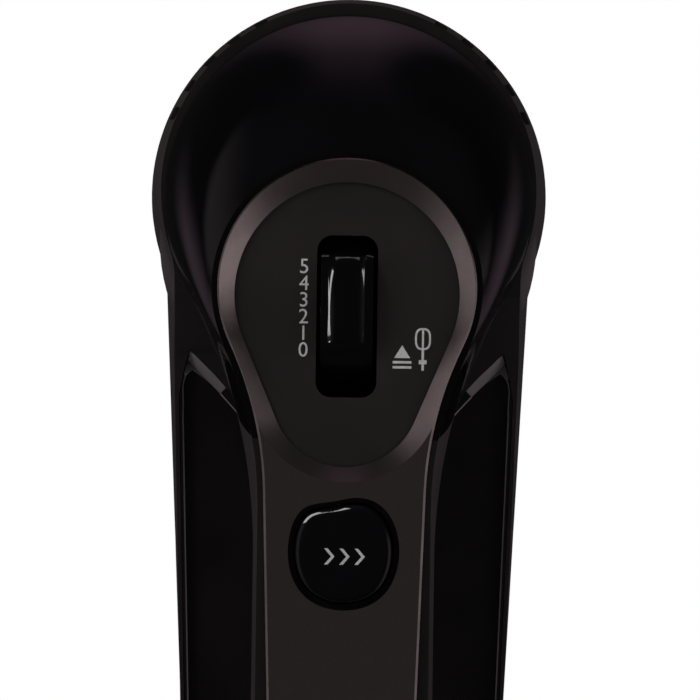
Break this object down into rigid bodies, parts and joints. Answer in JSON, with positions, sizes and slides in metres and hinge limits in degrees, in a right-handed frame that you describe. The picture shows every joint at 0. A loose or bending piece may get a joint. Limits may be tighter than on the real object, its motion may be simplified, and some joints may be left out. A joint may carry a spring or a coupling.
{
  "type": "hand mixer",
  "caption": "Hand mixer with round head, finger-gap handle, thumb speed dial that is pressed to eject, turbo button and two crossed-strip beaters.",
  "frame": {"origin": "on the heel face that the mixer stands on, under the motor axis", "axes": "+Z from the heel to the nose along the motor axis, -Y out of the top of the handle, +Y out of the underside along the beaters, +X to the right seen on the handle top"},
  "size_m": [0.0942, 0.2509, 0.2052],
  "materials": {
    "hood_black": "high gloss black",
    "shell_satin": "satin anthracite",
    "floor_gloss": "gloss black",
    "trim_metal": "satin metallic anthracite",
    "panel_dark": "fine satin",
    "knob_black": "high gloss",
    "inner_plastic": "moulded",
    "nylon": "moulded",
    "black_plastic": "moulded",
    "rubber_black": "matte",
    "steel": "ground",
    "chrome": "polished",
    "spring_steel": "bright",
    "laminations": "stacked sheet",
    "copper": "enamelled wire",
    "brass": "drawn",
    "bronze": "sintered",
    "die_cast": "cast",
    "carbon": "carbon",
    "board_green": "board"
  },
  "bodies": {
    "mixer_base": {"brush_holders": "brass", "brush_springs": "spring_steel", "brushes": "carbon", "clamp_screws": "steel", "control_panel": "panel_dark", "cord_clamp": "nylon", "cord_gland": "rubber_black", "eject_springs": "spring_steel", "field_coils": "copper", "gap_floor": "floor_gloss", "gearbox_cover": "inner_plastic", "gearbox_frame": "die_cast", "gearbox_screws": "steel", "handle_trim": "trim_metal", "hood": "hood_black", "housing_screws": "steel", "lower_housing": "shell_satin", "middle_bearing": "bronze", "motor_screws": "steel", "nose_bearing": "bronze", "port_collar_left": "black_plastic", "port_collar_right": "black_plastic", "rear_bearing": "bronze", "rear_bracket": "inner_plastic", "spindle_bushes": "bronze", "stator_core": "laminations", "suppression_capacitor": "panel_dark", "terminal_block": "nylon", "turbo_cup": "black_plastic", "turbo_spring": "spring_steel", "turbo_switch": "black_plastic", "upper_housing": "shell_satin"},
    "eject_slider": {"eject_carriage": "inner_plastic", "speed_board": "board_green"},
    "dial": {"speed_dial": "knob_black", "dial_axle": "steel", "dial_wiper": "brass"},
    "turbo": {"turbo_button": "knob_black"},
    "rotor": {"motor_shaft": "steel", "armature_core": "laminations", "armature_windings": "copper", "commutator": "brass", "fan": "nylon", "worm": "steel"},
    "drive_left": {"spindle_left": "steel", "worm_wheel_left": "nylon", "detent_ring_left": "spring_steel"},
    "drive_right": {"spindle_right": "steel", "worm_wheel_right": "nylon", "detent_ring_right": "spring_steel"},
    "beater_left": {"beater_shank_left": "chrome", "beater_collar_left": "black_plastic", "beater_cage_left": "chrome"},
    "beater_right": {"beater_shank_right": "chrome", "beater_collar_right": "black_plastic", "beater_cage_right": "chrome"}
  },
  "joints": [
    {"name": "eject_press", "type": "slide", "parent": "mixer_base", "child": "eject_slider", "axis": [0, 1, 0], "range_m": [0, 0.007], "stiffness_N_per_m": 900, "springref_m": -0.004, "deforming": ["eject_springs"]},
    {"name": "speed_turn", "type": "hinge", "parent": "eject_slider", "child": "dial", "pos_m": [0, -0.0742, 0.1302], "axis": [-1, 0, 0], "range_deg": [0, 45]},
    {"name": "turbo_press", "type": "slide", "parent": "mixer_base", "child": "turbo", "axis": [0, 1, 0], "range_m": [0, 0.0025], "stiffness_N_per_m": 500, "springref_m": -0.002, "deforming": ["turbo_spring"]},
    {"name": "motor_spin", "type": "hinge", "parent": "mixer_base", "child": "rotor", "pos_m": [0, 0, 0.078], "axis": [0, 0, 1], "continuous": true},
    {"name": "spindle_left_spin", "type": "hinge", "parent": "mixer_base", "child": "drive_left", "pos_m": [-0.021, 0, 0.158], "axis": [0, 1, 0], "continuous": true},
    {"name": "spindle_right_spin", "type": "hinge", "parent": "mixer_base", "child": "drive_right", "pos_m": [0.021, 0, 0.158], "axis": [0, 1, 0], "continuous": true},
    {"name": "beater_left_eject", "type": "slide", "parent": "drive_left", "child": "beater_left", "axis": [0, 1, 0], "range_m": [0, 0.007]},
    {"name": "beater_right_eject", "type": "slide", "parent": "drive_right", "child": "beater_right", "axis": [0, 1, 0], "range_m": [0, 0.007]}
  ],
  "couplings": [
    {"joint": "spindle_left_spin", "follows": "motor_spin", "ratio": 0.076923},
    {"joint": "spindle_right_spin", "follows": "motor_spin", "ratio": -0.076923},
    {"joint": "beater_left_eject", "follows": "eject_press", "ratio": 1},
    {"joint": "beater_right_eject", "follows": "eject_press", "ratio": 1}
  ]
}
